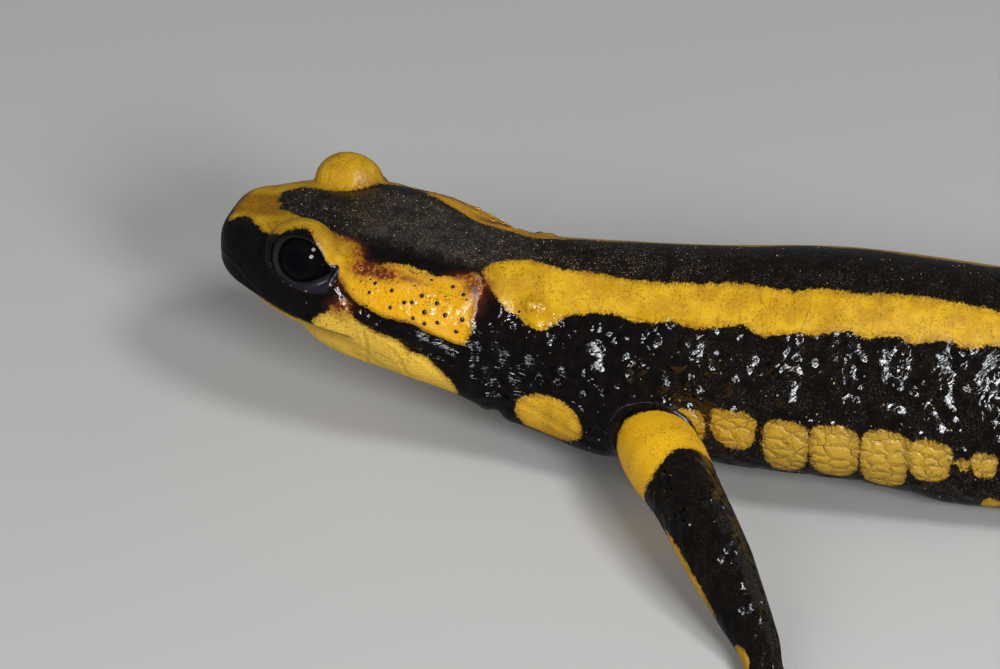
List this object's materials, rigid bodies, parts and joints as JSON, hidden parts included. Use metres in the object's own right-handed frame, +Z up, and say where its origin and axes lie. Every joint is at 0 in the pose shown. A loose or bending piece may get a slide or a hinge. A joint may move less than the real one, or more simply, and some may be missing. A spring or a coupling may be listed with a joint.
{
  "type": "fire salamander",
  "caption": "Life-size still model of a black and yellow striped fire salamander resting on its belly, with head, trunk, tail and legs.",
  "frame": {"origin": "middle of the flat on which the belly rests, on the ground", "axes": "+X towards the tail along the trunk, -Y towards the animal's left side, +Z up"},
  "size_m": [0.1782, 0.067, 0.0196],
  "materials": {
    "skin_black": "moist near-black skin, matt and dusty along the back, wet and glossy on the flanks",
    "skin_yellow": "moist chrome-yellow skin with fine dark specks",
    "eye": "wet, glossy, nearly black eyeball"
  },
  "bodies": {
    "root": {"head": "skin_black", "lower_jaw": "skin_black", "eye_left": "eye", "eye_right": "eye", "neck": "skin_black", "trunk_front": "skin_black", "trunk_middle": "skin_black", "trunk_rear": "skin_black", "tail_base": "skin_black", "tail_middle": "skin_black", "tail_tip": "skin_black", "upper_arm_left": "skin_yellow", "forearm_left": "skin_black", "hand_left": "skin_black", "upper_arm_right": "skin_yellow", "forearm_right": "skin_black", "hand_right": "skin_black", "thigh_left": "skin_yellow", "shank_left": "skin_black", "foot_left": "skin_black", "thigh_right": "skin_yellow", "shank_right": "skin_black", "foot_right": "skin_black"}
  },
  "joints": []
}
